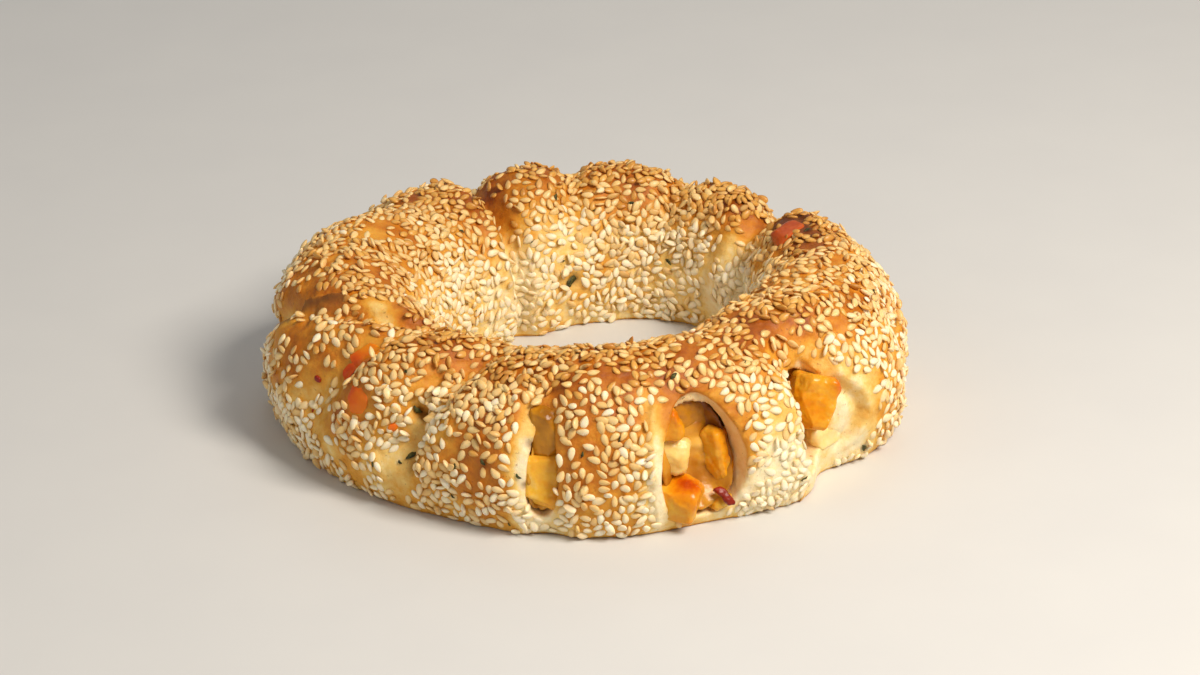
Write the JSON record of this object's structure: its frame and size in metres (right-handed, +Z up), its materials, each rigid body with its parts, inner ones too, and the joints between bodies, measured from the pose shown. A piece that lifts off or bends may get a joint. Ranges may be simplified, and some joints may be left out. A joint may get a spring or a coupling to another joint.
{
  "type": "halloumi bread ring",
  "caption": "Baked bread ring rolled round halloumi cubes, scored on its outer side so that cheese shows, coated in sesame seeds.",
  "frame": {"origin": "centre of the ring on the surface it lies on", "axes": "+Z up through the ring's hole, -Y towards the gaping scores at the front"},
  "size_m": [0.1674, 0.1597, 0.0442],
  "materials": {
    "baked_crust": "golden baked crust coated in pale to toasted sesame seeds",
    "golden_halloumi": "warm halloumi, yellow to orange, moist",
    "toasted_halloumi": "halloumi toasted orange to red, glazed",
    "dark_toasted_halloumi": "dark red toasted cheese, shiny"
  },
  "bodies": {
    "root": {"bread_ring": "baked_crust", "halloumi_filling": "golden_halloumi", "cheese_arch_upper_left": "golden_halloumi", "cheese_arch_upper": "golden_halloumi", "cheese_arch_middle_left": "golden_halloumi", "cheese_arch_middle": "golden_halloumi", "cheese_arch_right": "golden_halloumi", "cheese_arch_front": "golden_halloumi", "cheese_arch_floor": "golden_halloumi", "cheese_slot_upper": "golden_halloumi", "cheese_slot_lower": "golden_halloumi", "cheese_right_cube": "golden_halloumi", "cheese_right_crumb": "golden_halloumi", "cheese_left_upper": "toasted_halloumi", "cheese_left_lower": "toasted_halloumi", "cheese_left_spot": "toasted_halloumi", "cheese_crown_right": "toasted_halloumi", "cheese_arch_curl": "dark_toasted_halloumi"}
  },
  "joints": []
}
